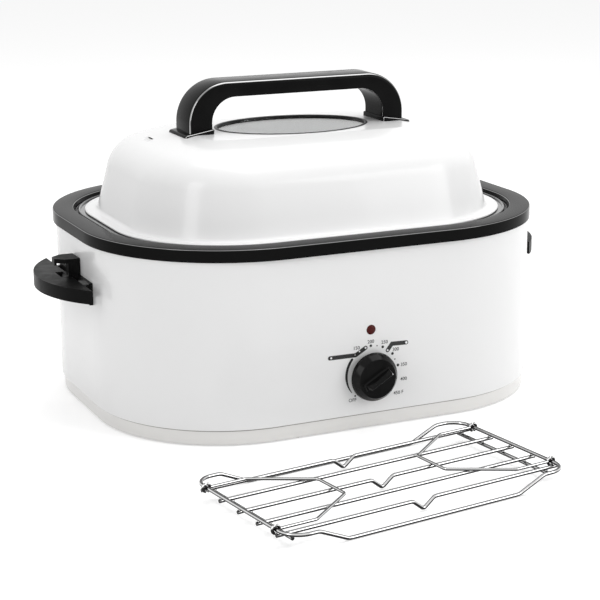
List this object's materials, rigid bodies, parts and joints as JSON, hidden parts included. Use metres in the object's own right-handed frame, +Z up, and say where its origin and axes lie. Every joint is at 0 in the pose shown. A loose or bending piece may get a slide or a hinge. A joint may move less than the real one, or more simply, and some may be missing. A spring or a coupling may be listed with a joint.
{
  "type": "electric roaster oven",
  "caption": "White countertop roaster oven with a lift-off dome lid with window, black rim, removable pan, front dial, side handles and a wire rack with folding bails.",
  "frame": {"origin": "on the table, under the middle of the oven's footprint", "axes": "+X along the oven's length to the right as seen from the front, -Y the front with the dial, +Z up"},
  "size_m": [0.65, 0.7466, 0.3845],
  "materials": {
    "white_enamel": "high gloss",
    "skirt_enamel": "gloss",
    "black_enamel": "high gloss",
    "pan_enamel": "speckled gloss",
    "galvanised_steel": "dull",
    "zinc_screws": "satin",
    "element_sheath": "dull",
    "glass_wool": "matte",
    "black_phenolic": "gloss",
    "black_moulding": "satin",
    "white_marking": "satin",
    "red_lens": "gloss",
    "bulb_glass": "gloss",
    "clear_glass": "polished",
    "black_silicone": "satin",
    "black_rubber": "matte",
    "brown_phenolic": "satin",
    "ceramic_white": "matte",
    "brass": "satin",
    "shaft_aluminium": "satin",
    "lead_black": "matte",
    "lead_white": "matte",
    "lead_red": "matte",
    "lead_green": "matte",
    "chrome_wire": "bright"
  },
  "bodies": {
    "housing": {"outer_housing": "white_enamel", "base_skirt": "skirt_enamel", "bottom_cover": "galvanised_steel", "feet": "black_rubber", "cover_screws": "zinc_screws", "rim_collar": "black_enamel", "cooking_well": "black_enamel", "heat_shield": "galvanised_steel", "insulation_blanket": "glass_wool", "heating_element": "element_sheath", "element_terminals": "ceramic_white", "element_clips": "galvanised_steel", "tie_studs": "zinc_screws", "tie_nuts": "zinc_screws", "seam_screws": "zinc_screws", "thermostat_body": "brown_phenolic", "thermostat_bracket": "galvanised_steel", "thermostat_sensor": "shaft_aluminium", "thermostat_screws": "zinc_screws", "indicator_lens": "red_lens", "indicator_bulb": "bulb_glass", "indicator_clip": "black_moulding", "terminal_block": "brown_phenolic", "earth_screw": "brass", "cord_gland": "black_rubber", "lead_live": "lead_black", "lead_neutral": "lead_white", "lead_switched": "lead_red", "lead_earth": "lead_green", "lamp_leads": "lead_white", "side_handle_left": "black_moulding", "side_handle_right": "black_moulding", "side_handle_backplate_left": "galvanised_steel", "side_handle_backplate_right": "galvanised_steel", "side_handle_screws_left": "zinc_screws", "side_handle_screws_right": "zinc_screws"},
    "knob": {"control_knob": "black_phenolic", "knob_pointer": "white_marking", "thermostat_shaft": "shaft_aluminium"},
    "pan": {"roasting_pan": "pan_enamel"},
    "lid": {"lid_shell": "white_enamel", "lid_window_glass": "clear_glass", "lid_window_gasket": "black_silicone", "lid_window_retainer": "galvanised_steel", "lid_handle_bar": "black_phenolic", "lid_handle_foot_left": "black_phenolic", "lid_handle_foot_right": "black_phenolic", "lid_handle_screws": "zinc_screws", "lid_handle_washers": "zinc_screws"},
    "rack": {"rack_frame": "chrome_wire", "rack_straight_rods": "chrome_wire", "rack_dipped_rods": "chrome_wire", "rack_cross_rods": "chrome_wire"},
    "bail_left": {"rack_bail_left": "chrome_wire"},
    "bail_right": {"rack_bail_right": "chrome_wire"}
  },
  "joints": [
    {"name": "knob_turn", "type": "hinge", "parent": "housing", "child": "knob", "pos_m": [0, -0.2224, 0.065], "axis": [0, -1, 0], "range_deg": [-72, 197]},
    {"name": "pan_lift", "type": "slide", "parent": "housing", "child": "pan", "axis": [0, 0, 1], "range_m": [0, 0.2]},
    {"name": "lid_lift", "type": "slide", "parent": "pan", "child": "lid", "axis": [0, 0, 1], "range_m": [0, 0.15]},
    {"name": "rack_lift", "type": "slide", "parent": "housing", "child": "rack", "axis": [0, 0, 1], "range_m": [0, 0.15]},
    {"name": "rack_bail_left_fold", "type": "hinge", "parent": "rack", "child": "bail_left", "pos_m": [-0.24778, -0.42631, 0.017], "axis": [0.1409, -0.99, 0], "range_deg": [0, 170]},
    {"name": "rack_bail_right_fold", "type": "hinge", "parent": "rack", "child": "bail_right", "pos_m": [0.09378, -0.37769, 0.017], "axis": [-0.1409, 0.99, 0], "range_deg": [0, 170]}
  ]
}
